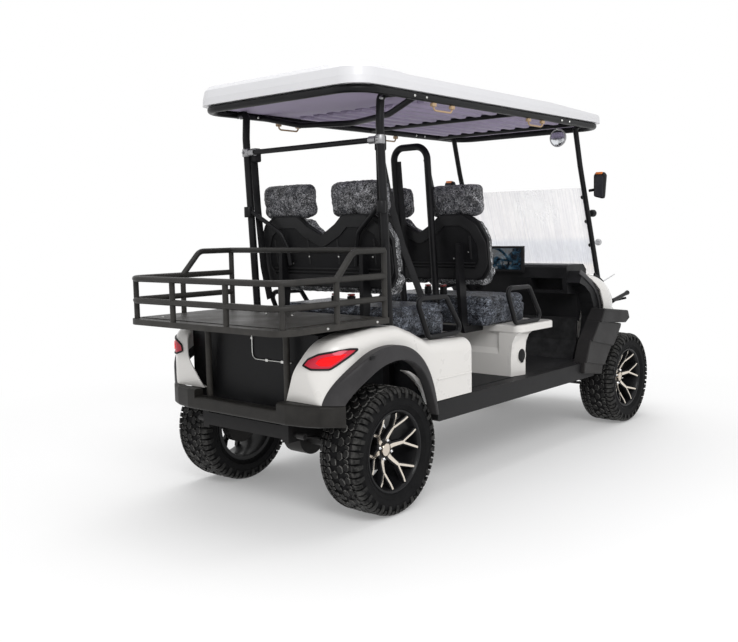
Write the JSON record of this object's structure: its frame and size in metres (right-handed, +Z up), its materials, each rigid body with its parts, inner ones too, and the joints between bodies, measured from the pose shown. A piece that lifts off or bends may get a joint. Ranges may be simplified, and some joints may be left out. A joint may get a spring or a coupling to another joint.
{
  "type": "golf cart",
  "caption": "Open electric golf cart with two forward-facing seat rows, hard canopy, folding windshield, rear cargo basket and steered front wheels.",
  "frame": {"origin": "on the ground under the middle of the cart's box", "axes": "+X forward, +Y to the driver's left, +Z up"},
  "size_m": [3.522, 1.244, 2.003],
  "materials": {
    "tyre_rubber": "matte",
    "machined_alloy": "satin",
    "body_paint": "gloss",
    "black_moulding": "satin",
    "frame_steel": "satin",
    "running_steel": "matte",
    "canopy_plastic": "gloss",
    "seat_vinyl": "satin",
    "seat_shell_plastic": "satin",
    "lamp_red": "gloss",
    "lamp_clear": "gloss",
    "windshield_pane": "gloss",
    "screen_glass": "gloss",
    "floor_mat": "matte",
    "handle_tan": "satin",
    "basket_steel": "satin",
    "battery_case": "matte"
  },
  "bodies": {
    "cart": {"arch_flares": "black_moulding", "basket_floor": "basket_steel", "basket_frame": "basket_steel", "battery_pack": "battery_case", "bumpers": "black_moulding", "canopy": "canopy_plastic", "chassis_frame": "frame_steel", "dashboard": "black_moulding", "display": "screen_glass", "drive_motor": "running_steel", "floor_pan": "floor_mat", "front_axle": "running_steel", "front_back_pad": "seat_vinyl", "front_cowl": "body_paint", "front_cushion": "seat_vinyl", "front_seat_box": "body_paint", "grab_handles": "handle_tan", "headlamps": "lamp_clear", "headrests": "seat_vinyl", "hip_restraints": "frame_steel", "leaf_springs": "running_steel", "pedals": "running_steel", "rear_axle": "running_steel", "rear_back_pad": "seat_vinyl", "rear_cushion": "seat_vinyl", "rear_posts": "frame_steel", "rear_quarter_panels": "body_paint", "rear_seat_base": "body_paint", "rear_well_panel": "black_moulding", "roof_frame": "frame_steel", "seat_frames": "frame_steel", "seat_shells": "seat_shell_plastic", "side_mirrors": "black_moulding", "side_sills": "black_moulding", "steering_column": "black_moulding", "tail_lamps": "lamp_red", "windshield": "windshield_pane", "windshield_pillars": "frame_steel"},
    "wheel_rear_left": {"tyre_rear_left": "tyre_rubber", "rim_rear_left": "machined_alloy"},
    "wheel_rear_right": {"tyre_rear_right": "tyre_rubber", "rim_rear_right": "machined_alloy"},
    "wheel_front_left": {"tyre_front_left": "tyre_rubber", "rim_front_left": "machined_alloy"},
    "wheel_front_right": {"tyre_front_right": "tyre_rubber", "rim_front_right": "machined_alloy"},
    "steer_left": {"knuckle_left": "running_steel"},
    "steer_right": {"knuckle_right": "running_steel"},
    "track_rod": {"tie_rod": "running_steel"},
    "steering": {"steering_wheel": "black_moulding"}
  },
  "joints": [
    {"name": "rear_left_spin", "type": "hinge", "parent": "cart", "child": "wheel_rear_left", "pos_m": [-1.139, 0.495, 0.292], "axis": [0, 1, 0], "continuous": true},
    {"name": "rear_right_spin", "type": "hinge", "parent": "cart", "child": "wheel_rear_right", "pos_m": [-1.139, -0.495, 0.292], "axis": [0, 1, 0], "continuous": true},
    {"name": "left_steer", "type": "hinge", "parent": "cart", "child": "steer_left", "pos_m": [1.291, 0.4, 0.292], "axis": [0, 0, 1], "range_deg": [-30, 30]},
    {"name": "right_steer", "type": "hinge", "parent": "cart", "child": "steer_right", "pos_m": [1.291, -0.4, 0.292], "axis": [0, 0, 1], "range_deg": [-30, 30]},
    {"name": "front_left_spin", "type": "hinge", "parent": "steer_left", "child": "wheel_front_left", "pos_m": [1.291, 0.495, 0.292], "axis": [0, 1, 0], "continuous": true},
    {"name": "front_right_spin", "type": "hinge", "parent": "steer_right", "child": "wheel_front_right", "pos_m": [1.291, -0.495, 0.292], "axis": [0, 1, 0], "continuous": true},
    {"name": "track_rod_pivot", "type": "hinge", "parent": "steer_left", "child": "track_rod", "pos_m": [1.181, 0.4, 0.25], "axis": [0, 0, 1], "range_deg": [-30, 30]},
    {"name": "steering_turn", "type": "hinge", "parent": "cart", "child": "steering", "pos_m": [0.501, 0.25, 1.055], "axis": [-0.788, 0, 0.6157], "range_deg": [-360, 360]}
  ],
  "couplings": [
    {"joint": "right_steer", "follows": "left_steer", "ratio": 1},
    {"joint": "track_rod_pivot", "follows": "left_steer", "ratio": -1},
    {"joint": "steering_turn", "follows": "left_steer", "ratio": 12}
  ]
}
